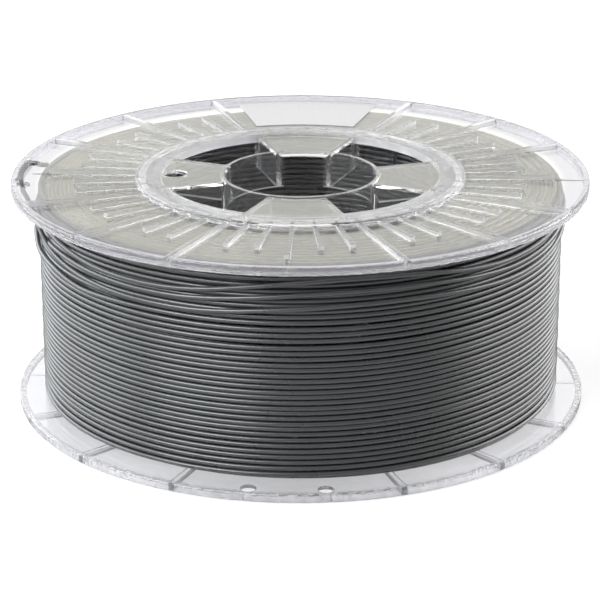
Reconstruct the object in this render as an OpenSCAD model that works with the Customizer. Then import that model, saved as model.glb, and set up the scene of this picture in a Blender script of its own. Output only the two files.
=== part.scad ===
// Filament spool: two clear moulded flanges pressed onto a core, wound with round filament.
// It lies on its lower flange. The axis is Z and the origin is the centre of the resting face.

/* [Flanges] */
// Diameter of both flanges
flange_d = 200; // [190:1:220]
// Width of the spool over the outer faces of both flanges
spool_w = 80; // [60:1:100]
// Height of a flange's rim, which is its full thickness
flange_t = 3; // [2.9:0.1:4]
// Width of the rim, measured towards the axis
rim_w = 2; // [1.6:0.1:4]
// Radius of the two outer edges of the rim
rim_round = 0.6; // [0.2:0.1:1]
// Thickness of the thin plate between the rim and the core seat
plate_t = 1.2; // [1:0.1:1.7]
// Turn of the flange features about the axis, in degrees
pattern_turn = -2.7; // [-10:0.1:10]

/* [Ribs] */
// Number of long ribs in a full circle, with two short ribs after each
long_ribs = 16; // [8:4:20]
// Width of a rib at the core seat
rib_w = 1.4; // [0.8:0.1:2]
// Width that a rib reaches at the rim
rib_end_w = 2; // [0.8:0.1:2.6]
// How far the ribs lie below the rim at the core seat, from where they rise outwards
rib_drop = 0.8; // [0.4:0.1:0.9]
// How far they lie below the rim beside it
rib_end_drop = 0.1; // [0.1:0.1:0.3]
// Distance from the rim at which they have risen to that height
rib_level_w = 10; // [6:0.5:16]
// Length of a short rib, from the core seat outwards
short_rib_l = 21.3; // [10:0.1:28]
// Angle of the rib-free panel that carries the label, in degrees
panel_angle = 40; // [36:1:44]

/* [Core and its seats] */
// Outer diameter of the winding core
core_d = 111.6; // [100:0.2:120]
// Wall of the winding core
core_wall = 1.8; // [1.4:0.1:2.4]
// Clearance on each side of the core's wall in its seat groove
seat_clear = 0.1; // [0.05:0.05:0.2]
// Depth of the seat groove in a flange
seat_depth = 1.6; // [1.2:0.1:1.8]
// Wall of the seat ring outside the groove
seat_wall = 1.4; // [1:0.1:2]
// Width of the seat ring inside the core
seat_land = 5.5; // [3:0.1:7]
// Height of the small teeth in the groove that bear on the core's ends
tooth_h = 0.4; // [0.2:0.1:0.6]
// Width of a tooth
tooth_w = 1; // [0.6:0.1:1.4]
// Width of the slot in the core's upper end that anchors the first turn
anchor_w = 8.5; // [3:0.5:10]
// Length of that slot, below the upper flange
anchor_l = 12; // [6:0.5:20]
// Direction of that slot, in degrees
anchor_dir = 46.5; // [30:0.5:60]

/* [Hub and spokes] */
// Bore of the spool
bore_d = 53; // [50:0.5:56]
// Wall of the collar round the bore
collar_wall = 1.2; // [1:0.1:2]
// Depth of the collar and of the spoke skirts, inwards from the flange's inner face
collar_depth = 10.5; // [8:0.5:16]
// Height of the collar's lip above the spokes
collar_lip = 0.6; // [0.2:0.1:0.8]
// Angle of the gap in the collar, in degrees
collar_gap = 31.6; // [20:0.1:33]
// Angle that a spoke covers, in degrees
spoke_angle = 42; // [38:1:50]
// Thickness of a spoke
spoke_t = 1.5; // [1.2:0.1:1.8]
// Height of a spoke's underside above the flange's inner face
spoke_lift = 0.5; // [0.2:0.1:0.6]
// Thickness of the skirts under both edges of a spoke
skirt_t = 1.8; // [1.2:0.1:2]
// Clearance between the skirts and the inside of the core
skirt_clear = 0.3; // [0.2:0.1:0.6]
// Diameter of the drive pin hole in one spoke
pin_hole_d = 8.8; // [6:0.2:10]
// Distance of the pin hole's edge from the window circle
pin_hole_inset = 0.3; // [0.2:0.1:2]

/* [Filament clips] */
// Diameter of the holes at the rim for the filament's free end
clip_hole_d = 5.2; // [3:0.1:5.6]
// How far these holes cut into the rim
clip_bite = 0.6; // [0.3:0.1:1.2]
// Width of the lane along the rim where the main ribs are low, for the filament to cross
clip_lane = 10.3; // [6:0.1:11]
// Height of the main ribs in that lane
lane_rib_h = 0.3; // [0.2:0.1:0.6]

/* [Filament] */
// Diameter of the filament
wire_d = 1.75; // [1.6:0.05:2]
// Diameter over the outer layer of the winding
wound_d = 181; // [170:1:184]
// Distance between neighbouring turns of a layer under the outer one
turn_step = 1.95; // [1.8:0.01:2.2]
// Distance between neighbouring layers
layer_step = 1.46; // [1.4:0.01:1.75]
// Most turns that the outer layer is drawn with
most_turns = 23; // [12:1:23]
// Smallest pitch of those turns, as a multiple of the filament's diameter
least_pitch = 1.6; // [1.5:0.05:2]
// Number of loose turns at the top
loose_turns = 4; // [3:1:6]
// How far the topmost loose turn hangs down at the front
loose_drop = 3.2; // [0:0.1:3.2]
// Clearance between the outer turns and the flanges
turn_clear = 0.2; // [0.1:0.1:0.5]
// Clearance between the outer turns and what they lie on
lay_clear = 0.05; // [0.05:0.05:0.2]

/* [Label] */
// Distance of the label from the core seat
label_inset = 7.6; // [4:0.2:20]
// Distance of the label from the rim
label_rim_gap = 0.6; // [0.4:0.1:3]
// Angle that the label covers, in degrees
label_angle = 32; // [24:1:34]
// Turn of the label in its panel, in degrees
label_turn = 1; // [-1:0.5:1]
// Thickness of the label
label_t = 0.15; // [0.1:0.05:0.3]

/* [Hidden] */
$fn = 180;

// Small overlap that makes joined shapes one solid, and passes cuts through a face
lap = 0.3;

// Flange, from the rim inwards
flange_r = flange_d / 2;
rim_in_r = flange_r - rim_w;
core_r = core_d / 2;
core_in_r = core_r - core_wall;
seat_r = core_r + seat_wall;
window_r = core_in_r - seat_land;
bore_r = bore_d / 2;
collar_r = bore_r + collar_wall;
spoke_top = spoke_lift + spoke_t;
inner_w = spool_w - 2 * flange_t;

// Directions of the spokes, ribs and clips in the flange's own frame
spokes = 4;
quarter = 360 / spokes;
panel_dir = 90;
pin_dir = 180;
rib_step = 360 / long_ribs / 3;
clip_hole_r = rim_in_r + clip_bite - clip_hole_d / 2;
pin_hole_r = window_r - pin_hole_inset - pin_hole_d / 2;

// Filament: centre line of the outer layer, and the surface of the layers under it
turn_rings = 24;
wire_sides = 6;
turn_r = (wound_d - wire_d) / 2;
ring_step = 360 / turn_rings;
chord_r = turn_r * cos(ring_step / 2);
under_r = chord_r - wire_d / 2 - lay_clear;
low_z = flange_t + turn_clear + wire_d / 2;
high_z = spool_w - low_z;
turns = min(most_turns, floor((high_z - low_z) / (wire_d * least_pitch)));

// Directions that the strand passes: where it starts, leaves the winding and reaches the clip holes' circle,
// the hole that it comes up through, and the hole that it goes down into
start_dir = 300;
rear_dir = 80;
leave_dir = 225;
led_dir = 192;
up_dir = pattern_turn + pin_dir + rib_step;
down_dir = pattern_turn + pin_dir - rib_step;
last_ring = round((turns + (start_dir - leave_dir) / 360) * turn_rings);
turn_pitch = (high_z - low_z) / last_ring * turn_rings;

// ---- Flange ------------------------------------------------------------------------------------

// A wedge of the given angle about the direction of +X, out to radius r
module wedge(angle, r) {
    reach = r / cos(angle / 2);
    polygon([[0, 0], reach * [cos(angle / 2), -sin(angle / 2)], reach * [cos(angle / 2), sin(angle / 2)]]);
}

// Section of the seat ring, plate and rim, turned about the axis
module flange_section() {
    translate([window_r, 0])
        square([seat_r - window_r, flange_t]);
    translate([window_r, 0])
        square([rim_in_r + lap - window_r, plate_t]);
    translate([rim_in_r, 0])
        square([rim_w - rim_round, flange_t]);
    translate([rim_in_r, rim_round])
        square([rim_w, flange_t - 2 * rim_round]);
    for (z = [rim_round, flange_t - rim_round])
        translate([flange_r - rim_round, z])
            circle(r = rim_round);
}

// Side view of the longest rib, standing on the plate
module rib_side() {
    polygon([
        [seat_r - lap, plate_t - lap],
        [rim_in_r + lap, plate_t - lap],
        [rim_in_r + lap, flange_t - rib_end_drop],
        [rim_in_r - rib_level_w, flange_t - rib_end_drop],
        [seat_r - lap, flange_t - rib_drop]
    ]);
}

// Plan of the longest rib, which widens outwards
module rib_plan() {
    polygon([
        [seat_r - lap, -rib_w / 2],
        [rim_in_r + lap, -rib_end_w / 2],
        [rim_in_r + lap, rib_end_w / 2],
        [seat_r - lap, rib_w / 2]
    ]);
}

// One rib from the seat ring to radius r_out
module rib(r_out) {
    intersection() {
        linear_extrude(flange_t)
            rib_plan();
        rotate([90, 0, 0])
            translate([0, 0, -rib_w - rib_end_w])
                linear_extrude(2 * (rib_w + rib_end_w))
                    intersection() {
                        rib_side();
                        square([r_out, flange_t]);
                    }
    }
}

// The low end of a main rib, out to radius r_out
module lane_rib(r_out) {
    r_in = rim_in_r - clip_lane - lap;
    translate([r_in, -rib_w / 2, plate_t - lap])
        cube([r_out - r_in, rib_w, lane_rib_h + lap]);
}

// Every third rib is long and runs to the rim. Those in line with a spoke are low along the clip lane,
// and the one between the clip holes also stops short of the filament that crosses there.
module ribs(clip_dir) {
    for (i = [0 : 3 * long_ribs - 1]) {
        dir = i * rib_step;
        is_long = i % 3 == 0;
        is_main = dir % quarter == 0;
        r_out = is_main ? rim_in_r - clip_lane : is_long ? rim_in_r + lap : seat_r + short_rib_l;
        if (abs(dir - panel_dir) > panel_angle / 2)
            rotate(dir) {
                rib(r_out);
                if (is_main)
                    lane_rib(dir == clip_dir ? clip_hole_r - clip_hole_d / 2 : rim_in_r + lap);
            }
    }
}

// One spoke along +X: a plate with a skirt under each edge, which ties the collar to the ring and centres the core
module spoke() {
    translate([0, 0, -collar_depth])
        difference() {
            linear_extrude(collar_depth + spoke_top)
                intersection() {
                    circle(r = core_in_r - skirt_clear);
                    wedge(spoke_angle, flange_r);
                }
            translate([skirt_t / sin(spoke_angle / 2), 0, -lap])
                linear_extrude(collar_depth + spoke_lift + lap)
                    wedge(spoke_angle, flange_r);
        }
}

// Collar round the bore, open at the spoke that faces the label panel
module collar() {
    collar_h = collar_depth + spoke_top + collar_lip;
    translate([0, 0, -collar_depth])
        difference() {
            cylinder(r = collar_r, h = collar_h);
            rotate(panel_dir)
                translate([0, 0, -lap])
                    linear_extrude(collar_h + 2 * lap)
                        wedge(collar_gap, collar_r + lap);
        }
}

// Teeth on the floor of the seat groove, one in line with each rib
module seat_teeth() {
    for (i = [0 : 3 * long_ribs - 1])
        rotate(i * rib_step)
            translate([core_in_r - seat_clear - lap, -tooth_w / 2, seat_depth - tooth_h])
                cube([core_wall + 2 * (seat_clear + lap), tooth_w, tooth_h + lap]);
}

// Groove that takes the end of the core
module seat_groove() {
    translate([0, 0, -lap])
        difference() {
            cylinder(r = core_r + seat_clear, h = seat_depth + lap);
            translate([0, 0, -lap])
                cylinder(r = core_in_r - seat_clear, h = seat_depth + 3 * lap);
        }
}

// A pair of holes in the clip lane, one on each side of its middle, which cut a little into the rim
module clip_holes() {
    for (side = [-1, 1])
        rotate(side * rib_step)
            translate([clip_hole_r, 0, -lap])
                cylinder(d = clip_hole_d, h = flange_t + 2 * lap, $fn = 48);
}

// The moulding, with its clip holes about clip_dir. Its inner face is at z = 0 and its outer side is up.
module flange(clip_dir) {
    difference() {
        union() {
            rotate_extrude()
                flange_section();
            ribs(clip_dir);
            for (i = [0 : spokes - 1])
                rotate(i * quarter)
                    spoke();
            collar();
        }
        seat_groove();
        translate([0, 0, -collar_depth - lap])
            cylinder(r = bore_r, h = collar_depth + flange_t + 2 * lap);
        rotate(pin_dir)
            translate([pin_hole_r, 0, -collar_depth])
                cylinder(d = pin_hole_d, h = collar_depth + flange_t + lap, $fn = 96);
        rotate(clip_dir)
            clip_holes();
    }
    seat_teeth();
}

module upper_flange() {
    color([0.87, 0.87, 0.85, 0.5])
        translate([0, 0, spool_w - flange_t])
            rotate(pattern_turn)
                flange(pin_dir);
}

module lower_flange() {
    color([0.9, 0.9, 0.92, 0.5])
        translate([0, 0, flange_t])
            rotate(pattern_turn)
                rotate([180, 0, 0])
                    flange(panel_dir);
}

// ---- Core --------------------------------------------------------------------------------------

// Slot with a round lower end, open at the core's upper end
module anchor_slot() {
    rotate(anchor_dir)
        translate([0, 0, spool_w - flange_t - anchor_l + anchor_w / 2]) {
            rotate([0, 90, 0])
                cylinder(d = anchor_w, h = core_d, $fn = 96);
            translate([0, -anchor_w / 2, 0])
                cube([core_d, anchor_w, anchor_l]);
        }
}

// A plain tube whose ends stand on the teeth in the seat grooves
module winding_core() {
    in_seat = seat_depth - tooth_h;
    color([0.9, 0.9, 0.9, 0.5])
        difference() {
            translate([0, 0, flange_t - in_seat])
                cylinder(r = core_r, h = inner_w + 2 * in_seat);
            cylinder(r = core_in_r, h = spool_w);
            anchor_slot();
        }
}

// ---- Filament ----------------------------------------------------------------------------------

// Points of a row of turns between two corners: a ridge for each turn, with a valley between neighbours
function turn_row(from, to, inward, turns) =
    let (half = norm(to - from) / turns / 2)
    let (valley = wire_d / 2 - sqrt(max(0, wire_d * wire_d / 4 - half * half)))
    [
        for (i = [1 : 2 * turns - 1])
            from + (to - from) * i / (2 * turns) + (i % 2 == 0 ? valley : 0) * inward
    ];

// The layers under the outer one, as one body. Its turns show as ridges on the core and under both flanges.
module filament_inner_layers() {
    layers = round((under_r - core_r) / layer_step);
    layer_turns = round(inner_w / turn_step);
    color([0.24, 0.25, 0.25])
        translate([0, 0, flange_t])
            rotate_extrude()
                polygon(concat(
                    turn_row([core_r, 0], [under_r, 0], [0, 1], layers),
                    [[under_r, layer_step / 2], [under_r, inner_w - layer_step / 2]],
                    turn_row([under_r, inner_w], [core_r, inner_w], [0, -1], layers),
                    turn_row([core_r, inner_w], [core_r, 0], [1, 0], layer_turns)
                ));
}

function unit(v) = v / norm(v);
function at(r, dir, z) = [r * cos(dir), r * sin(dir), z];
function ease(x) = let (c = min(1, max(0, x))) c * c * (3 - 2 * c);

// Height of the centre line after so many turns: a steady climb, with the loose turns hanging at the front
function turn_z(turn, dir) =
    let (loose = max(0, turn - (turns - loose_turns)) / loose_turns)
    low_z + turn_pitch * turn - loose_drop / 2 * min(1, loose) * (1 - cos(dir - rear_dir));

// The strand rises out of the layers below, square to their surface, and bends into the first turn
bend_r = wire_d;
emerge = [
    for (a = [0 : 30 : 90])
        let (out = under_r + wire_d + bend_r * sin(a), along = bend_r * (1 - cos(a)))
        at(out, start_dir, low_z) + along * [sin(start_dir), -cos(start_dir), 0]
];
settle = [
    for (i = [1 : 3])
        let (out = under_r + wire_d + bend_r, s = ease(i / 3))
        at(out + (turn_r - out) * s, start_dir - 5 * i, low_z)
];
wind = [
    for (i = [2 : last_ring])
        at(turn_r, start_dir - i * ring_step, turn_z(i / turn_rings, start_dir - i * ring_step))
];

// The free end swings out to the clip holes' circle, close under the upper flange
leave_z = turn_z(last_ring / turn_rings, leave_dir);
lead_step = ring_step / 2;
swing = [
    for (dir = [leave_dir - lead_step : -lead_step : led_dir])
        let (s = ease((leave_dir - dir) / (leave_dir - led_dir)))
        at(turn_r + (clip_hole_r - turn_r) * s, dir, leave_z + (high_z - leave_z) * s)
];

// It bends up through one hole, crosses the low rib on top of the plate and bends down into the other
over_z = spool_w - flange_t + plate_t + lay_clear + wire_d / 2;
bend = (over_z - high_z) / 2;
bend_angle = bend / clip_hole_r * 180 / PI;
up = [
    for (a = [0 : 30 : 180])
        at(clip_hole_r, up_dir + bend_angle * (a > 90 ? sin(a) - 1 : 1 - sin(a)), high_z + bend * (1 - cos(a)))
];
over = [
    for (share = [0.35, 0.65])
        at(clip_hole_r, up_dir + (down_dir - up_dir) * share, over_z)
];
down = [
    for (a = [0 : 30 : 90])
        at(clip_hole_r, down_dir + bend_angle * (1 - sin(a)), over_z - bend * (1 - cos(a)))
];
tip = [at(clip_hole_r, down_dir, high_z)];
root = [at(under_r, start_dir, low_z)];
strand = concat(root, emerge, settle, wind, swing, up, over, down, tip);

// Direction of the strand at point i, and a side direction that turns as little as possible along it
function heading(i) = unit(strand[min(i + 1, len(strand) - 1)] - strand[max(i - 1, 0)]);
headings = [for (i = [0 : len(strand) - 1]) heading(i)];
sides = [
    for (i = 0, s = [0, 0, 1]; i < len(strand); i = i + 1,
         s = i < len(strand) ? unit(s - (s * headings[i]) * headings[i]) : s) s
];

// Rings of points round the strand, joined by triangles and closed at both ends
wire_points = [
    for (i = [0 : len(strand) - 1], k = [0 : wire_sides - 1])
        let (a = 360 * k / wire_sides)
        strand[i] + wire_d / 2 * (cos(a) * sides[i] + sin(a) * cross(headings[i], sides[i]))
];
wire_faces = concat(
    [for (i = [0 : len(strand) - 2], k = [0 : wire_sides - 1])
        let (a = i * wire_sides + k, b = i * wire_sides + (k + 1) % wire_sides)
        each [[a, a + wire_sides, b + wire_sides], [a, b + wire_sides, b]]],
    [for (k = [1 : wire_sides - 2]) [0, k, k + 1]],
    [for (k = [1 : wire_sides - 2])
        let (e = (len(strand) - 1) * wire_sides)
        [e, e + k + 1, e + k]]
);

// Least gap between two stretches of the strand that lie more than a quarter turn apart
apart = turn_rings / 4;
least_gap = min([
    for (i = [0 : len(strand) - 1 - apart])
        min([for (j = [i + apart : len(strand) - 1]) norm(strand[i] - strand[j])])
]) - wire_d;
echo(turns = turns, turn_pitch = turn_pitch, least_gap = least_gap);

module filament_outer_layer() {
    color([0.28, 0.29, 0.3])
        polyhedron(wire_points, wire_faces);
}

// ---- Label -------------------------------------------------------------------------------------

module label() {
    color([0.95, 0.95, 0.94])
        translate([0, 0, spool_w - flange_t + plate_t])
            rotate(pattern_turn + panel_dir + label_turn)
                linear_extrude(label_t)
                    intersection() {
                        difference() {
                            circle(r = rim_in_r - label_rim_gap);
                            circle(r = seat_r + label_inset);
                        }
                        wedge(label_angle, flange_r);
                    }
}

upper_flange();
lower_flange();
winding_core();
filament_inner_layers();
filament_outer_layer();
label();
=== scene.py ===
import math

import bpy
import numpy as np
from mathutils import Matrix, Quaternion, Vector


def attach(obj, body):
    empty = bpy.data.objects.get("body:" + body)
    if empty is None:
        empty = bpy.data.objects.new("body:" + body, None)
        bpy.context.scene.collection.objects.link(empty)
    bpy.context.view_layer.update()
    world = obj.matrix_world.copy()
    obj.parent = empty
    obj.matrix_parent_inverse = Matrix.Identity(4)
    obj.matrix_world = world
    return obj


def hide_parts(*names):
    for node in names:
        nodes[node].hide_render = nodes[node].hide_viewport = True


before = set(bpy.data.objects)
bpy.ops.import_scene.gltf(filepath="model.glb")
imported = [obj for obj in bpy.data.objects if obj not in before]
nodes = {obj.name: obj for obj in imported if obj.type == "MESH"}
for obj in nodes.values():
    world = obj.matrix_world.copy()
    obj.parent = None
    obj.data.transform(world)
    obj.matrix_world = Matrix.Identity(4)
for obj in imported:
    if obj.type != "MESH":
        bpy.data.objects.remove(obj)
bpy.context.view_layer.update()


# ---- Camera ----
# It stands in front of the spool, far enough off for a long lens, and looks down on it at about
# twenty degrees, so that the upper flange shows as a flat ellipse over the winding.
CAMERA_PLACE = Vector((-0.0002, -0.80483, 0.33048))
CAMERA_AIM = Vector((-0.0002, 0.0, 0.03253))
CAMERA_ROLL = -0.0024
LENS_MM = 145.4
SENSOR_MM = 36.0
NEAREST_SHOWN = 0.01
bpy.ops.object.select_all(action="DESELECT")
bpy.ops.object.camera_add(location=CAMERA_PLACE)
camera = bpy.context.object
camera.name = "studio_camera"
camera.data.lens = LENS_MM
camera.data.sensor_width = SENSOR_MM
camera.data.clip_start = NEAREST_SHOWN
camera.rotation_mode = "QUATERNION"
camera_turn = (CAMERA_AIM - CAMERA_PLACE).to_track_quat("-Z", "Y")
camera.rotation_quaternion = camera_turn @ Quaternion((0, 0, 1), CAMERA_ROLL)
bpy.context.scene.camera = camera


# ---- Wound filament: inner turns ----
# Round plastic filament, extruded, and wound tightly on the core in about twenty layers. Those that
# can be seen are wound here, each as one strand: the turns on the core, the layer under the
# outermost one, and the end turns of all layers under both flanges.
WIRE_R = 0.000875
CORE_TURN_R = 0.0567
UNDER_TURN_R = 0.08812
LOW_TURN_Z = 0.00392
HIGH_TURN_Z = 0.07608
LAYER_TURNS = 37
END_TURNS = 22
STEPS_PER_TURN = 90
INNER_SIDES = 8


def wind_strand(name, points, sides):
    """A round strand along the given points, as a closed mesh."""
    bpy.ops.object.select_all(action="DESELECT")
    bpy.ops.curve.primitive_nurbs_path_add(location=(0, 0, 0))
    strand = bpy.context.object
    strand.name = name
    line = strand.data
    line.splines.clear()
    spline = line.splines.new("POLY")
    spline.points.add(len(points) - 1)
    spline.points.foreach_set("co", np.column_stack([points, np.ones(len(points))]).ravel())
    line.dimensions = "3D"
    line.twist_mode = "Z_UP"
    line.bevel_depth = WIRE_R
    # A curve has four sides at resolution 0, and four more with each step
    line.bevel_resolution = sides // 4 - 1
    line.use_fill_caps = True
    bpy.ops.object.convert(target="MESH")
    bpy.ops.object.shade_smooth()
    strand.data.name = name
    return strand


def at(radius, degrees, height):
    """Points on circles round the spool's axis."""
    turn = np.radians(degrees)
    return np.column_stack(np.broadcast_arrays(radius * np.cos(turn), radius * np.sin(turn), height))


def new_finish(name):
    """A new material, with its node tree and its shader."""
    material = bpy.data.materials.new(name)
    material.use_nodes = True
    return material, material.node_tree, material.node_tree.nodes["Principled BSDF"]


def feed(tree, socket, source):
    """Link a socket to another one, or set it to a plain number or colour."""
    if isinstance(source, bpy.types.NodeSocket):
        tree.links.new(source, socket)
    else:
        socket.default_value = source


def mottle(tree, scale, detail=2.0):
    """An uneven, cloudy pattern that is fixed to the piece."""
    place = tree.nodes.new("ShaderNodeTexCoord")
    clouds = tree.nodes.new("ShaderNodeTexNoise")
    clouds.inputs["Scale"].default_value = scale
    clouds.inputs["Detail"].default_value = detail
    feed(tree, clouds.inputs["Vector"], place.outputs["Object"])
    return clouds.outputs["Fac"]


def stretch(tree, source, old_range, new_range, curve="LINEAR"):
    """A value brought from one range to another, and kept inside it."""
    node = tree.nodes.new("ShaderNodeMapRange")
    node.interpolation_type = curve
    for end, value in zip(("From Min", "From Max", "To Min", "To Max"), (*old_range, *new_range)):
        node.inputs[end].default_value = value
    feed(tree, node.inputs["Value"], source)
    return node.outputs["Result"]


# The range in which most of a cloudy pattern lies
CLOUD_MIDDLE = (0.3, 0.7)


def shade(tree, pattern, darker, lighter):
    """A colour that a cloudy pattern varies between two others."""
    node = tree.nodes.new("ShaderNodeValToRGB")
    for stop, position, colour in zip(node.color_ramp.elements, CLOUD_MIDDLE, (darker, lighter)):
        stop.position = position
        stop.color = colour
    feed(tree, node.inputs["Fac"], pattern)
    return node.outputs["Color"]


def roughen(tree, shader, pattern, strength, depth):
    """Fine relief on a whole surface, by a pattern."""
    relief = tree.nodes.new("ShaderNodeBump")
    relief.inputs["Strength"].default_value = strength
    relief.inputs["Distance"].default_value = depth
    feed(tree, relief.inputs["Height"], pattern)
    feed(tree, shader.inputs["Normal"], relief.outputs["Normal"])


# Dark grey satin plastic, a little uneven in shade and gloss along its length, with a fine grain
FILAMENT_IOR = 1.57
FILAMENT_GLOSS = 0.9
FILAMENT_DARKER = (0.045, 0.0475, 0.0485, 1)
FILAMENT_LIGHTER = (0.056, 0.0585, 0.0595, 1)
FILAMENT_ROUGHNESS = (0.24, 0.32)
FILAMENT_CLOUD_SCALE = 55.0
FILAMENT_CLOUD_DETAIL = 3.0
FILAMENT_GRAIN_SCALE = 2600.0
FILAMENT_GRAIN_STRENGTH = 0.12
FILAMENT_GRAIN_DEPTH = 0.0001
grey_filament, filament_tree, filament_shader = new_finish("grey_filament_plastic")
filament_shader.inputs["IOR"].default_value = FILAMENT_IOR
filament_shader.inputs["Specular IOR Level"].default_value = FILAMENT_GLOSS
filament_clouds = mottle(filament_tree, FILAMENT_CLOUD_SCALE, FILAMENT_CLOUD_DETAIL)
filament_grey = shade(filament_tree, filament_clouds, FILAMENT_DARKER, FILAMENT_LIGHTER)
feed(filament_tree, filament_shader.inputs["Base Color"], filament_grey)
filament_roughness = stretch(filament_tree, filament_clouds, (0.0, 1.0), FILAMENT_ROUGHNESS)
feed(filament_tree, filament_shader.inputs["Roughness"], filament_roughness)
filament_grain = mottle(filament_tree, FILAMENT_GRAIN_SCALE)
roughen(filament_tree, filament_shader, filament_grain, FILAMENT_GRAIN_STRENGTH, FILAMENT_GRAIN_DEPTH)

# The innermost layer, against the core
layer_steps = np.arange(0, LAYER_TURNS * STEPS_PER_TURN + 1)
layer_degrees = layer_steps * 360.0 / STEPS_PER_TURN
layer_climb = (HIGH_TURN_Z - LOW_TURN_Z) * layer_steps / layer_steps[-1]
core_course = at(CORE_TURN_R, layer_degrees, LOW_TURN_Z + layer_climb)
core_turns = wind_strand("filament_core_turns", core_course, INNER_SIDES)

# The layer under the outermost one, wound downwards
under_course = at(UNDER_TURN_R, layer_degrees, HIGH_TURN_Z - layer_climb)
under_turns = wind_strand("filament_under_turns", under_course, INNER_SIDES)

# The end turns of all layers, side by side under each flange. They swing a little way off it and
# back over two turns, with a small ripple.
END_SWING = 0.00032
END_RIPPLE = 0.00012
END_RIPPLES_PER_TURN = 2.13
end_steps = np.arange(0, END_TURNS * STEPS_PER_TURN + 1)
end_degrees = end_steps * 360.0 / STEPS_PER_TURN
end_share = end_steps / end_steps[-1]
end_radii = CORE_TURN_R + (UNDER_TURN_R - CORE_TURN_R) * end_share
end_swing = END_SWING * (1 - np.cos(np.radians(end_degrees / 2.0)))
end_swing = end_swing + END_RIPPLE * np.sin(np.radians(end_degrees * END_RIPPLES_PER_TURN))
top_course = at(end_radii, end_degrees, HIGH_TURN_Z - end_swing)
top_turns = wind_strand("filament_top_turns", top_course, INNER_SIDES)
bottom_course = at(end_radii, -end_degrees, LOW_TURN_Z + end_swing)
bottom_turns = wind_strand("filament_bottom_turns", bottom_course, INNER_SIDES)
for layer in (core_turns, under_turns, top_turns, bottom_turns):
    layer.data.materials.append(grey_filament)
    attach(layer, "root")
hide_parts("filament_inner_layers")


# ---- Wound filament: outer turns and free end ----
# The outermost layer of the same strand, in close, nearly level turns from the lower flange up.
# Three loose turns lie over it below the upper flange, and the free end is tucked through two clip
# holes in that flange.
OUTER_TURN_R = 0.0901
OUTER_TURNS = 37.1
OUTER_START_DEGREES = 70.0
OUTER_STEPS_PER_TURN = 120
OUTER_SIDES = 12

# The layer starts at the back right, and its turns pass the front left half a turn further on
HALF_TURN = 0.5

# Heights of the middles of its turns at the front left, from the lower flange up
TURN_HEIGHTS = np.array([
    0.0036, 0.00555, 0.0078, 0.0098, 0.01165, 0.01365, 0.01565, 0.01765, 0.01965, 0.02155, 0.0233, 0.0251,
    0.027, 0.02885, 0.03065, 0.03245, 0.03425, 0.0361, 0.03795, 0.03985, 0.04175, 0.0435, 0.04545, 0.0475,
    0.04945, 0.05155, 0.05365, 0.05575, 0.0578, 0.05985, 0.06175, 0.06355, 0.06535, 0.06695, 0.06855, 0.07055,
    0.07255, 0.07455, 0.0764,
])

# One turn comes off the layer at the left and falls back into its place: direction, rise and lift
SLACK_TURN = np.array([
    (136.0, 0.0, 0.0), (148.0, 0.0008, 0.0014), (160.0, 0.0026, 0.0018), (175.0, 0.0042, 0.0018),
    (184.0, 0.0048, 0.0017), (188.3, 0.0045, 0.0017), (191.3, 0.0034, 0.0018), (194.3, 0.0022, 0.0018),
    (200.5, 0.0016, 0.0016), (206.5, 0.0012, 0.0015), (213.0, 0.0001, 0.0012), (219.0, -0.0005, 0.0009),
    (228.0, -0.0002, 0.0004), (242.0, 0.0, 0.0),
])
SLACK_TURN_START_DEGREES = 27 * 360.0

# The lower turns lie a little higher at both sides than at the front and the back. This begins over
# the first turns and fades out again over eight turns.
SIDE_LIFT = 0.0009
SIDE_LIFT_FRONT_DEGREES = 265.0
SIDE_LIFT_FIRST_TURNS = 3.0
SIDE_LIFT_LAST_TURN = 24.0
SIDE_LIFT_FADE_TURNS = 8.0

# Slow waves in the layer: the depth of each, and how many of them there are to a turn
HEIGHT_WAVES = ((0.00007, 0.37), (0.00006, 1.71))
RADIUS_WAVE = 0.00008
RADIUS_WAVES_PER_TURN = 0.23
RADIUS_WAVE_START_DEGREES = 40

# Both ends of the layer are tucked in under it
TUCK_TURNS = 0.12
TUCK_DEPTH = 0.002


def smooth_course(course, degrees):
    """The two columns after the directions, smoothed between the rows without overshoot."""
    row = course[:, 0]
    columns = []
    for column in (1, 2):
        value = course[:, column]
        slope = np.diff(value) / np.diff(row)
        knot = np.zeros(len(value))
        for i in range(1, len(value) - 1):
            if slope[i - 1] * slope[i] > 0:
                knot[i] = 2 * slope[i - 1] * slope[i] / (slope[i - 1] + slope[i])
        span = np.clip(np.searchsorted(row, degrees, side="right") - 1, 0, len(value) - 2)
        width = row[span + 1] - row[span]
        t = np.clip((degrees - row[span]) / width, 0, 1)
        columns.append(
            value[span] * (1 + 2 * t) * (1 - t) ** 2
            + value[span + 1] * t * t * (3 - 2 * t)
            + knot[span] * width * t * (1 - t) ** 2
            - knot[span + 1] * width * t * t * (1 - t)
        )
    return columns


outer_steps = np.arange(0, int(OUTER_TURNS * OUTER_STEPS_PER_TURN) + 1)
outer_degrees = OUTER_START_DEGREES + outer_steps * 360.0 / OUTER_STEPS_PER_TURN
outer_turn = outer_steps / OUTER_STEPS_PER_TURN
lift_start = np.clip(outer_turn / SIDE_LIFT_FIRST_TURNS, 0, 1)
lift_end = np.clip((SIDE_LIFT_LAST_TURN - outer_turn) / SIDE_LIFT_FADE_TURNS, 0, 1)
sideways = 1 - np.cos(np.radians(2 * (outer_degrees - SIDE_LIFT_FRONT_DEGREES)))
side_lift = SIDE_LIFT * (lift_start * lift_end) * sideways / 2
height_wave = sum(depth * np.sin(np.radians(outer_degrees * waves)) for depth, waves in HEIGHT_WAVES)
slack_rise, slack_lift = smooth_course(SLACK_TURN, outer_degrees - SLACK_TURN_START_DEGREES)
turns_at_front = np.arange(len(TURN_HEIGHTS)) - HALF_TURN
outer_heights = np.interp(outer_turn, turns_at_front, TURN_HEIGHTS)
outer_heights = outer_heights + side_lift + height_wave + slack_rise
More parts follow.
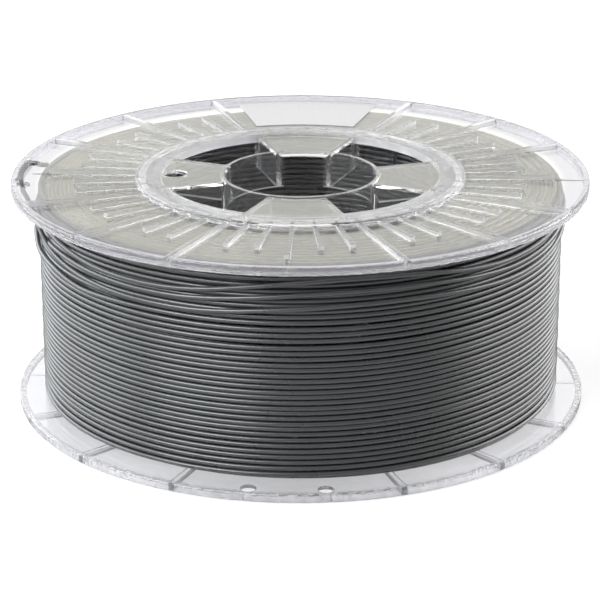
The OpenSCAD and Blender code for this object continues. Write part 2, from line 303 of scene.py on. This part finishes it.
radius_wave_degrees = outer_degrees * RADIUS_WAVES_PER_TURN + RADIUS_WAVE_START_DEGREES
radius_wave = RADIUS_WAVE * np.sin(np.radians(radius_wave_degrees))
first_tuck = np.clip(1 - outer_turn / TUCK_TURNS, 0, 1)
last_tuck = np.clip(1 - (outer_turn[-1] - outer_turn) / TUCK_TURNS, 0, 1)
outer_radii = OUTER_TURN_R + radius_wave + slack_lift - TUCK_DEPTH * (first_tuck + last_tuck)
outer_turns = wind_strand("filament_outer_turns", at(outer_radii, outer_degrees, outer_heights), OUTER_SIDES)
outer_turns.data.materials.append(grey_filament)
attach(outer_turns, "root")
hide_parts("filament_outer_layer")

# The loose turns sag on the left and rise in a hump to the right of the front. The last of them
# climbs through one clip hole, lies on the plate and goes down again through the next. Each row
# holds a direction in degrees, a height and a radius of the strand's middle.
LOOSE_COURSE = np.array([
    (166.6, 0.0753, 0.0927), (168.0, 0.0759, 0.0942), (169.1, 0.0768, 0.0955), (169.8, 0.0779, 0.0962),
    (170.7, 0.07885, 0.0966), (172.6, 0.07911, 0.0969), (177.0, 0.07911, 0.09705), (181.8, 0.07911, 0.0968),
    (183.6, 0.0789, 0.0965), (184.45, 0.0782, 0.0962), (184.9, 0.0773, 0.096), (185.4, 0.0765, 0.096),
    (186.4, 0.0759, 0.0959), (188.5, 0.0755, 0.0952), (191.0, 0.0747, 0.0944), (194.0, 0.0729, 0.0936),
    (197.0, 0.0696, 0.0927), (199.0, 0.0679, 0.0924), (201.0, 0.0662, 0.092), (204.6, 0.0643, 0.0916),
    (210.0, 0.0631, 0.09145), (215.8, 0.0622, 0.0914), (220.0, 0.0616, 0.0912), (226.0, 0.061, 0.09105),
    (236.0, 0.0606, 0.09105), (246.0, 0.0607, 0.09115), (254.0, 0.0614, 0.0913), (262.0, 0.0624, 0.0914),
    (271.0, 0.0633, 0.0914), (281.0, 0.064, 0.0914), (291.0, 0.0641, 0.0914), (301.0, 0.0636, 0.09135),
    (311.0, 0.0628, 0.0913), (321.0, 0.0623, 0.0912), (331.0, 0.0627, 0.0911), (343.0, 0.0639, 0.0911),
    (360.0, 0.0645, 0.0911), (390.0, 0.0651, 0.0911), (440.0, 0.0655, 0.0911), (500.0, 0.0659, 0.0911),
    (540.0, 0.0662, 0.0911), (560.0, 0.0659, 0.0911), (572.0, 0.0654, 0.0911), (584.0, 0.0647, 0.0911),
    (594.0, 0.0644, 0.09115), (604.0, 0.0646, 0.0912), (612.0, 0.0654, 0.0913), (621.0, 0.0667, 0.0914),
    (630.0, 0.0678, 0.0914), (640.0, 0.0685, 0.0914), (650.0, 0.0685, 0.0914), (660.0, 0.0679, 0.0914),
    (670.0, 0.0669, 0.0913), (680.0, 0.0662, 0.0912), (690.0, 0.0665, 0.0911), (703.0, 0.0676, 0.0911),
    (720.0, 0.0686, 0.0911), (750.0, 0.0694, 0.0911), (800.0, 0.0699, 0.0911), (860.0, 0.0702, 0.0911),
    (900.0, 0.0704, 0.0911), (920.0, 0.07, 0.0911), (934.0, 0.0682, 0.0911), (944.0, 0.067, 0.0911),
    (954.0, 0.0667, 0.09115), (962.0, 0.067, 0.0912), (970.0, 0.0681, 0.0913), (980.0, 0.0703, 0.0914),
    (990.0, 0.0719, 0.0914), (1000.0, 0.0727, 0.0914), (1010.0, 0.0725, 0.0914), (1020.0, 0.0712, 0.0914),
    (1030.0, 0.0697, 0.0913), (1039.0, 0.069, 0.0912), (1050.0, 0.0693, 0.0911), (1063.0, 0.0702, 0.0911),
    (1085.0, 0.07128, 0.0911), (1120.0, 0.07248, 0.0911), (1170.0, 0.0738, 0.091), (1220.0, 0.0751, 0.0908),
    (1260.0, 0.0758, 0.0902), (1280.0, 0.0757, 0.0886),
])

# The strand is drawn in close steps where it threads the clip holes, and in wider ones after them
CLIP_LAST_DEGREES = 190.0
CLIP_STEP_DEGREES = 0.3
LOOSE_STEP_DEGREES = 2.5
loose_degrees = np.concatenate([
    np.arange(LOOSE_COURSE[0, 0], CLIP_LAST_DEGREES, CLIP_STEP_DEGREES),
    np.arange(CLIP_LAST_DEGREES, LOOSE_COURSE[-1, 0], LOOSE_STEP_DEGREES),
])
loose_heights, loose_radii = smooth_course(LOOSE_COURSE, loose_degrees)
loose_turns = wind_strand("filament_loose_turns", at(loose_radii, loose_degrees, loose_heights), OUTER_SIDES)
loose_turns.data.materials.append(grey_filament)
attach(loose_turns, "root")


# ---- Flanges ----
# Two like injection mouldings of clear polystyrene, pressed onto the ends of the core. They are
# polished, apart from the faintly hazy rim and the satin rib sides, window edges and skirt edges.
WINDOW_R = 0.0485
SEAT_OUTER_R = 0.0574
SEAT_HALF_WIDTH = 0.0042
CLEAR_ZONE_START_R = 0.0866
CLEAR_ZONE_R = 0.093
RIM_INNER_R = 0.0978
MID_Z = 0.04
UPPER_PLATE_Z = 0.0782
UPPER_SKIRT_Z = 0.0665
LOWER_SKIRT_Z = 0.0135

# How close a face lies to an edge, or to the outer side of a plate, to count as part of it
WINDOW_EDGE_REACH = 0.0006
SKIRT_EDGE_REACH = 0.0003
PLATE_REACH = 0.0001

# How little a wall's face may look up or down, and how much a rib end's has to look outwards
WALL_TILT = 0.3
RIB_END_FACING = 0.7

finish = bpy.data.node_groups.new("moulding_finish", "ShaderNodeTree")
for socket_name in ("Plate Roughness", "Polish Roughness", "Skirt Height"):
    finish.interface.new_socket(socket_name, in_out="INPUT", socket_type="NodeSocketFloat")
for socket_name in ("Roughness", "Walls and Ribs", "Clear Zone", "Rim", "Satin Coat"):
    finish.interface.new_socket(socket_name, in_out="OUTPUT", socket_type="NodeSocketFloat")
finish.interface.new_socket("Normal", in_out="OUTPUT", socket_type="NodeSocketVector")
finish_in = finish.nodes.new("NodeGroupInput").outputs
finish_out = finish.nodes.new("NodeGroupOutput").inputs


def reckon(tree, operation, *sources):
    """A number worked out from sockets or plain numbers."""
    node = tree.nodes.new("ShaderNodeMath")
    node.operation = operation
    for socket, source in zip(node.inputs, sources):
        feed(tree, socket, source)
    return node.outputs["Value"]


def reckon_direction(tree, operation, *sources):
    """A length, a direction or how far two directions agree, worked out from vectors."""
    node = tree.nodes.new("ShaderNodeVectorMath")
    node.operation = operation
    for socket, source in zip(node.inputs, sources):
        feed(tree, socket, source)
    return node.outputs["Vector" if operation == "NORMALIZE" else "Value"]


def blend(tree, mask, low, high, kind="FLOAT"):
    """A number or a colour between two others, by a mask."""
    node = tree.nodes.new("ShaderNodeMix")
    node.data_type = kind
    feed(tree, node.inputs["Factor"], mask)
    feed(tree, node.inputs["A"], low)
    feed(tree, node.inputs["B"], high)
    return node.outputs["Result"]


# Where a point of the moulding lies, and which way its face looks
moulding_place = finish.nodes.new("ShaderNodeTexCoord")
moulding_axes = finish.nodes.new("ShaderNodeSeparateXYZ")
feed(finish, moulding_axes.inputs["Vector"], moulding_place.outputs["Object"])
height = moulding_axes.outputs["Z"]
from_axis = finish.nodes.new("ShaderNodeCombineXYZ")
feed(finish, from_axis.inputs["X"], moulding_axes.outputs["X"])
feed(finish, from_axis.inputs["Y"], moulding_axes.outputs["Y"])
radius = reckon_direction(finish, "LENGTH", from_axis.outputs["Vector"])
outwards = reckon_direction(finish, "NORMALIZE", from_axis.outputs["Vector"])
facing = finish.nodes.new("ShaderNodeNewGeometry")
facing_axes = finish.nodes.new("ShaderNodeSeparateXYZ")
feed(finish, facing_axes.inputs["Vector"], facing.outputs["True Normal"])
facing_outwards = reckon_direction(finish, "DOT_PRODUCT", facing.outputs["True Normal"], outwards)

# Masks for the moulding's parts
wall = reckon(finish, "LESS_THAN", reckon(finish, "ABSOLUTE", facing_axes.outputs["Z"]), WALL_TILT)
rim = reckon(finish, "GREATER_THAN", radius, RIM_INNER_R)
beyond_seat = reckon(finish, "GREATER_THAN", radius, SEAT_OUTER_R)
plate = reckon(finish, "SUBTRACT", beyond_seat, rim)
seat_ring = reckon(finish, "COMPARE", radius, (WINDOW_R + SEAT_OUTER_R) / 2, SEAT_HALF_WIDTH)
between_plates = reckon(finish, "COMPARE", height, MID_Z, UPPER_PLATE_Z - MID_Z + PLATE_REACH)
rib = reckon(finish, "MULTIPLY", reckon(finish, "SUBTRACT", 1.0, between_plates), plate)
rib_side = reckon(finish, "MULTIPLY", rib, wall)
outer_face = reckon(finish, "GREATER_THAN", facing_outwards, RIB_END_FACING)
rib_end = reckon(finish, "MULTIPLY", rib_side, outer_face)
at_window = reckon(finish, "COMPARE", radius, WINDOW_R, WINDOW_EDGE_REACH)
window_edge = reckon(finish, "MULTIPLY", at_window, wall)
skirt_edge = reckon(finish, "COMPARE", height, finish_in["Skirt Height"], SKIRT_EDGE_REACH)

# Roughness. The rim is RIM_HAZE times as rough as the plate, and not less than the value of its own.
RIM_HAZE = 2.2
RIM_FACE_ROUGHNESS = 0.08
RIM_WALL_ROUGHNESS = 0.14
RIB_SIDE_ROUGHNESS = 0.3
SATIN_ROUGHNESS = 0.5
rim_haze = reckon(finish, "MULTIPLY", finish_in["Plate Roughness"], RIM_HAZE)
rim_face = reckon(finish, "MAXIMUM", rim_haze, RIM_FACE_ROUGHNESS)
rim_wall = reckon(finish, "MAXIMUM", rim_haze, RIM_WALL_ROUGHNESS)
roughness = blend(finish, plate, finish_in["Polish Roughness"], finish_in["Plate Roughness"])
roughness = blend(finish, rim, roughness, blend(finish, wall, rim_face, rim_wall))
roughness = blend(finish, rib_side, roughness, RIB_SIDE_ROUGHNESS)
roughness = blend(finish, reckon(finish, "MAXIMUM", window_edge, skirt_edge), roughness, SATIN_ROUGHNESS)
feed(finish, finish_out["Roughness"], roughness)

# Masks for the tints: the walls, ribs and seat ring, and the painted shade on the clear plate beyond the
# winding and, in uneven clouds, on the rim
RIM_CLOUD_SCALE = 330.0
RIM_CLOUD_RANGE = (0.43, 0.57)
RIM_SHADE_RANGE = (0.1, 1.0)
walls_and_ribs = reckon(finish, "MAXIMUM", reckon(finish, "MAXIMUM", rib, wall), seat_ring)
feed(finish, finish_out["Walls and Ribs"], walls_and_ribs)
beyond_winding = stretch(finish, radius, (CLEAR_ZONE_START_R, CLEAR_ZONE_R), (0.0, 1.0), "SMOOTHSTEP")
clear_zone = reckon(finish, "MULTIPLY", beyond_winding, reckon(finish, "SUBTRACT", 1.0, rib))
feed(finish, finish_out["Clear Zone"], clear_zone)
rim_clouds = stretch(finish, mottle(finish, RIM_CLOUD_SCALE), RIM_CLOUD_RANGE, RIM_SHADE_RANGE)
feed(finish, finish_out["Rim"], reckon(finish, "MULTIPLY", rim, rim_clouds))

# A satin coat catches the light on the rib sides, on the window edges and in flecks on the seat ring
RIB_SIDE_COAT = 0.35
WINDOW_EDGE_COAT = 0.9
FLECK_SCALE = 380.0
FLECK_DETAIL = 1.0
FLECK_RANGE = (0.5, 0.58)
FLECK_COAT = (0.0, 0.35)
coated_walls = reckon(finish, "MAXIMUM", reckon(finish, "SUBTRACT", rib_side, rib_end), window_edge)
wall_coat = blend(finish, window_edge, RIB_SIDE_COAT, WINDOW_EDGE_COAT)
flecks = stretch(finish, mottle(finish, FLECK_SCALE, FLECK_DETAIL), FLECK_RANGE, FLECK_COAT)
wall_coat = reckon(finish, "MULTIPLY", coated_walls, wall_coat)
seat_coat = reckon(finish, "MULTIPLY", seat_ring, flecks)
feed(finish, finish_out["Satin Coat"], reckon(finish, "MAXIMUM", wall_coat, seat_coat))

# The corners are a little rounded. The rim and the seat ring are dappled, and the rest hardly at all.
CORNER_R = 0.00035
CORNER_SAMPLES = 6
DAPPLE_SCALE = 900.0
DAPPLE_DEPTH = 0.0003
RIM_DAPPLE = 0.9
LEAST_DAPPLE = 0.007
corners = finish.nodes.new("ShaderNodeBevel")
corners.samples = CORNER_SAMPLES
corners.inputs["Radius"].default_value = CORNER_R
rim_dapple = reckon(finish, "MULTIPLY", rim, RIM_DAPPLE)
seat_dapple = reckon(finish, "MULTIPLY", seat_ring, between_plates)
dapple = finish.nodes.new("ShaderNodeBump")
dapple.inputs["Distance"].default_value = DAPPLE_DEPTH
dapple_strength = reckon(finish, "MAXIMUM", rim_dapple, reckon(finish, "MAXIMUM", seat_dapple, LEAST_DAPPLE))
feed(finish, dapple.inputs["Strength"], dapple_strength)
feed(finish, dapple.inputs["Height"], mottle(finish, DAPPLE_SCALE))
feed(finish, dapple.inputs["Normal"], corners.outputs["Normal"])
feed(finish, finish_out["Normal"], dapple.outputs["Normal"])

POLYSTYRENE_IOR = 1.59
COAT_ROUGHNESS = 0.5
COAT_IOR = 2.2


def flange_polystyrene(name, tints, clearness, plate_roughness, polish_roughness, skirt_height):
    """Clear polystyrene with tints, mostly painted light and shade, for the plate, the walls and ribs, the
    clear zone and the rim.
    """
    material, tree, shader = new_finish(name)
    shader.inputs["IOR"].default_value = POLYSTYRENE_IOR
    shader.inputs["Transmission Weight"].default_value = clearness
    shader.inputs["Coat Roughness"].default_value = COAT_ROUGHNESS
    shader.inputs["Coat IOR"].default_value = COAT_IOR
    moulding = tree.nodes.new("ShaderNodeGroup")
    moulding.node_tree = finish
    moulding.inputs["Plate Roughness"].default_value = plate_roughness
    moulding.inputs["Polish Roughness"].default_value = polish_roughness
    moulding.inputs["Skirt Height"].default_value = skirt_height
    plate_tint, wall_tint, clear_zone_shade, rim_shade = tints
    colour = blend(tree, moulding.outputs["Walls and Ribs"], plate_tint, wall_tint, "RGBA")
    colour = blend(tree, moulding.outputs["Clear Zone"], colour, clear_zone_shade, "RGBA")
    colour = blend(tree, moulding.outputs["Rim"], colour, rim_shade, "RGBA")
    feed(tree, shader.inputs["Base Color"], colour)
    feed(tree, shader.inputs["Roughness"], moulding.outputs["Roughness"])
    feed(tree, shader.inputs["Normal"], moulding.outputs["Normal"])
    feed(tree, shader.inputs["Coat Weight"], moulding.outputs["Satin Coat"])
    return material


def dress(node_name, material):
    """Give a piece that comes from the CAD its finish."""
    nodes[node_name].data.materials.clear()
    nodes[node_name].data.materials.append(material)


# Over the winding the upper flange's plate carries painted warm light as a warm tint, and its ribs, walls and
# seat ring are colourless
UPPER_PLATE_WARM_LIGHT = (0.96, 0.94, 0.84, 1)
UPPER_WALL_TINT = (0.96, 0.96, 0.97, 1)
# Painted shade: the clear plate beyond the winding and the rim are greyer than the plastic elsewhere
UPPER_CLEAR_ZONE_SHADE = (0.64, 0.635, 0.65, 1)
UPPER_RIM_SHADE = (0.6, 0.59, 0.645, 1)
upper_polystyrene = flange_polystyrene(
    "upper_flange_polystyrene",
    (UPPER_PLATE_WARM_LIGHT, UPPER_WALL_TINT, UPPER_CLEAR_ZONE_SHADE, UPPER_RIM_SHADE),
    clearness=0.975,
    plate_roughness=0.015,
    polish_roughness=0.02,
    skirt_height=UPPER_SKIRT_Z,
)
dress("upper_flange", upper_polystyrene)

# The lower flange has one cool tint of painted shade, apart from its rim with darker painted shade, and a
# plate that is a little duller
LOWER_COOL_SHADE = (0.855, 0.855, 0.877, 1)
LOWER_RIM_SHADE = (0.72, 0.72, 0.745, 1)
lower_polystyrene = flange_polystyrene(
    "lower_flange_polystyrene",
    (LOWER_COOL_SHADE, LOWER_COOL_SHADE, LOWER_COOL_SHADE, LOWER_RIM_SHADE),
    clearness=0.94,
    plate_roughness=0.08,
    polish_roughness=0.03,
    skirt_height=LOWER_SKIRT_Z,
)
dress("lower_flange", lower_polystyrene)


# ---- Winding core ----
# A moulded tube of clear polystyrene with a slot that anchors the first turn of the filament. Its
# ends are pressed into the seat grooves of the flanges. Its surface is slightly wavy.
CORE_TINT = (0.93, 0.93, 0.945, 1)
CORE_CLEARNESS = 0.98
CORE_ROUGHNESS = (0.02, 0.045)
CORE_WAVE_SCALE = 140.0
CORE_WAVE_STRENGTH = 0.03
CORE_WAVE_DEPTH = 0.0002
core_polystyrene, core_tree, core_shader = new_finish("winding_core_polystyrene")
core_shader.inputs["Base Color"].default_value = CORE_TINT
core_shader.inputs["IOR"].default_value = POLYSTYRENE_IOR
core_shader.inputs["Transmission Weight"].default_value = CORE_CLEARNESS
core_waves = mottle(core_tree, CORE_WAVE_SCALE)
core_roughness = stretch(core_tree, core_waves, (0.0, 1.0), CORE_ROUGHNESS)
feed(core_tree, core_shader.inputs["Roughness"], core_roughness)
roughen(core_tree, core_shader, core_waves, CORE_WAVE_STRENGTH, CORE_WAVE_DEPTH)
dress("winding_core", core_polystyrene)


# ---- Label ----
# A bare self-adhesive label of thin matt white film, die-cut to fit the rib-free panel of the upper
# flange and stuck on it. Its coating has a very faint mottle.
LABEL_DARKER = (0.68, 0.672, 0.666, 1)
LABEL_LIGHTER = (0.72, 0.712, 0.706, 1)
LABEL_ROUGHNESS = 0.6
LABEL_GLOSS = 0.3
COATING_SCALE = 700.0
COATING_DETAIL = 4.0
COATING_STRENGTH = 0.1
COATING_DEPTH = 0.0001
label_film, label_tree, label_shader = new_finish("label_film")
label_shader.inputs["Roughness"].default_value = LABEL_ROUGHNESS
label_shader.inputs["Specular IOR Level"].default_value = LABEL_GLOSS
label_coating = mottle(label_tree, COATING_SCALE, COATING_DETAIL)
label_white = shade(label_tree, label_coating, LABEL_DARKER, LABEL_LIGHTER)
feed(label_tree, label_shader.inputs["Base Color"], label_white)
roughen(label_tree, label_shader, label_coating, COATING_STRENGTH, COATING_DEPTH)
dress("label", label_film)


# ---- Studio ----
# A floor of pale paper that runs into an even white surround, with soft boxes on both sides, at the front
# left, behind and above. Clear plastic shows floor and surround in tones of their own, the floor in painted
# light and shade.
FLOOR_SIZE = 8.0
FLOOR_Z = -0.0002
PAPER = (0.62, 0.62, 0.625, 1)
# Painted shade: seen through clear plastic the paper is darker
PAPER_SHADED_THROUGH_PLASTIC = (0.4, 0.4, 0.405, 1)
bpy.ops.object.select_all(action="DESELECT")
bpy.ops.mesh.primitive_plane_add(size=FLOOR_SIZE, location=(0, 0, FLOOR_Z))
floor = bpy.context.object
floor.name = "studio_floor"
floor_paper = bpy.data.materials.new("studio_floor_paper")
floor_paper.use_nodes = True
floor_tree = floor_paper.node_tree
floor_tree.nodes.remove(floor_tree.nodes["Principled BSDF"])
rays = floor_tree.nodes.new("ShaderNodeLightPath").outputs
paper = floor_tree.nodes.new("ShaderNodeBsdfDiffuse")
paper_and_painted_shade = blend(floor_tree, rays["Is Transmission Ray"], PAPER, PAPER_SHADED_THROUGH_PLASTIC, "RGBA")
feed(floor_tree, paper.inputs["Color"], paper_and_painted_shade)

# The camera sees the floor lighter, and far from the spool it sees it as white as the surround
FAR_FLOOR = (0.6, 1.6)
FAR_FLOOR_GLOW = (0.6, 1.0)
floor_place = floor_tree.nodes.new("ShaderNodeTexCoord").outputs["Object"]
from_spool = reckon_direction(floor_tree, "LENGTH", floor_place)
far_glow = stretch(floor_tree, from_spool, FAR_FLOOR, FAR_FLOOR_GLOW)
for_camera = reckon(floor_tree, "MULTIPLY", rays["Is Camera Ray"], far_glow)

# Through clear plastic a painted glow lights it below the spool, painted shadow dims it in front of the
# spool, and the glow fades far away
NEAR_FLOOR = (0.25, 0.9)
NEAR_FLOOR_GLOW = (0.9, 0.15)
FRONT_FLOOR_Y = (-0.1, -0.075)
FRONT_PAINTED_SHADOW = (0.52, 1.0)
floor_axes = floor_tree.nodes.new("ShaderNodeSeparateXYZ")
feed(floor_tree, floor_axes.inputs["Vector"], floor_place)
painted_light_below_spool = stretch(floor_tree, from_spool, NEAR_FLOOR, NEAR_FLOOR_GLOW, "SMOOTHSTEP")
painted_front_shadow = stretch(floor_tree, floor_axes.outputs["Y"], FRONT_FLOOR_Y, FRONT_PAINTED_SHADOW)
painted_light_through_plastic = reckon(floor_tree, "MULTIPLY", painted_light_below_spool, painted_front_shadow)
for_plastic = reckon(floor_tree, "MULTIPLY", rays["Is Transmission Ray"], painted_light_through_plastic)

# In reflections it is only faintly lighter than its paper
GLOSS_GLOW = 0.1
for_gloss = reckon(floor_tree, "MULTIPLY", rays["Is Glossy Ray"], GLOSS_GLOW)
glow = floor_tree.nodes.new("ShaderNodeEmission")
glow_strength = reckon(floor_tree, "MAXIMUM", for_camera, for_plastic)
glow_strength = reckon(floor_tree, "MAXIMUM", glow_strength, for_gloss)
feed(floor_tree, glow.inputs["Strength"], glow_strength)
paper_and_glow = floor_tree.nodes.new("ShaderNodeAddShader")
feed(floor_tree, paper_and_glow.inputs[0], paper.outputs["BSDF"])
feed(floor_tree, paper_and_glow.inputs[1], glow.outputs["Emission"])
feed(floor_tree, floor_tree.nodes["Material Output"].inputs["Surface"], paper_and_glow.outputs["Shader"])
floor.data.materials.append(floor_paper)

# The surround is darker in front of the spool and lights it softly from behind. The camera sees it
# white, and clear plastic nearly so.
WHITE = (1, 1, 1, 1)
BACKWARDS = (-0.35, 0.937, 0.0)
BACKWARDS_RANGE = (-0.95, 0.2)
SURROUND_LEVELS = (0.12, 1.13)
LIGHT_SHARE = 0.14
PLASTIC_LEVEL = 0.8
world = bpy.data.worlds.new("studio_surround")
bpy.context.scene.world = world
world.use_nodes = True
world_tree = world.node_tree
surround = world_tree.nodes["Background"]
surround.inputs["Color"].default_value = WHITE
world_rays = world_tree.nodes.new("ShaderNodeLightPath").outputs
world_place = world_tree.nodes.new("ShaderNodeTexCoord").outputs["Generated"]
towards_back = reckon_direction(world_tree, "DOT_PRODUCT", world_place, BACKWARDS)
level = stretch(world_tree, towards_back, BACKWARDS_RANGE, SURROUND_LEVELS, "SMOOTHSTEP")
light_share = stretch(world_tree, world_rays["Is Diffuse Ray"], (0.0, 1.0), (1.0, LIGHT_SHARE))
level = reckon(world_tree, "MULTIPLY", level, light_share)
plastic_level = reckon(world_tree, "MULTIPLY", world_rays["Is Transmission Ray"], PLASTIC_LEVEL)
seen_level = reckon(world_tree, "MAXIMUM", world_rays["Is Camera Ray"], plastic_level)
feed(world_tree, surround.inputs["Strength"], reckon(world_tree, "MAXIMUM", level, seen_level))

# Each row is a soft box: its name, direction in degrees, distance, height, width, depth, radiance
# and colour
LAMP_AIM = Vector((0, 0, 0.04))
SOFT_BOXES = (
    ("soft_box_left", 158, 1.5, 0.6, 2.3, 1.1, 2.9, (0.93, 0.965, 1.0)),
    ("soft_box_front_left", 224, 1.5, 1.1, 1.35, 0.8, 7.9, (0.96, 0.985, 1.0)),
    ("soft_box_right", 22, 1.5, 0.6, 2.3, 1.1, 3.3, (1.0, 1.0, 1.0)),
    ("soft_box_back", 90, 2.0, 1.7, 3.6, 1.0, 1.0, (1.0, 0.98, 0.93)),
    ("soft_box_top", 90, 0.25, 1.6, 1.2, 1.2, 0.1, (1.0, 1.0, 1.0)),
)
for name, degrees, distance, lamp_height, width, depth, radiance, colour in SOFT_BOXES:
    turn = math.radians(degrees)
    lamp_place = Vector((distance * math.cos(turn), distance * math.sin(turn), lamp_height))
    bpy.ops.object.light_add(type="AREA", location=lamp_place)
    lamp = bpy.context.object
    lamp.name = name
    lamp.data.shape = "RECTANGLE"
    lamp.data.size = width
    lamp.data.size_y = depth
    lamp.data.color = colour
    lamp.data.energy = radiance * math.pi * width * depth
    lamp.rotation_euler = (LAMP_AIM - lamp_place).to_track_quat("-Z", "Y").to_euler()
    lamp.visible_camera = False

# Light passes many clear walls on its way through the spool
MOST_CLEAR_WALLS = 24
MOST_REFLECTIONS = 16
bpy.context.scene.cycles.max_bounces = MOST_CLEAR_WALLS
bpy.context.scene.cycles.glossy_bounces = MOST_REFLECTIONS
bpy.context.scene.cycles.transmission_bounces = MOST_CLEAR_WALLS

bpy.context.scene.view_settings.view_transform = "Standard"
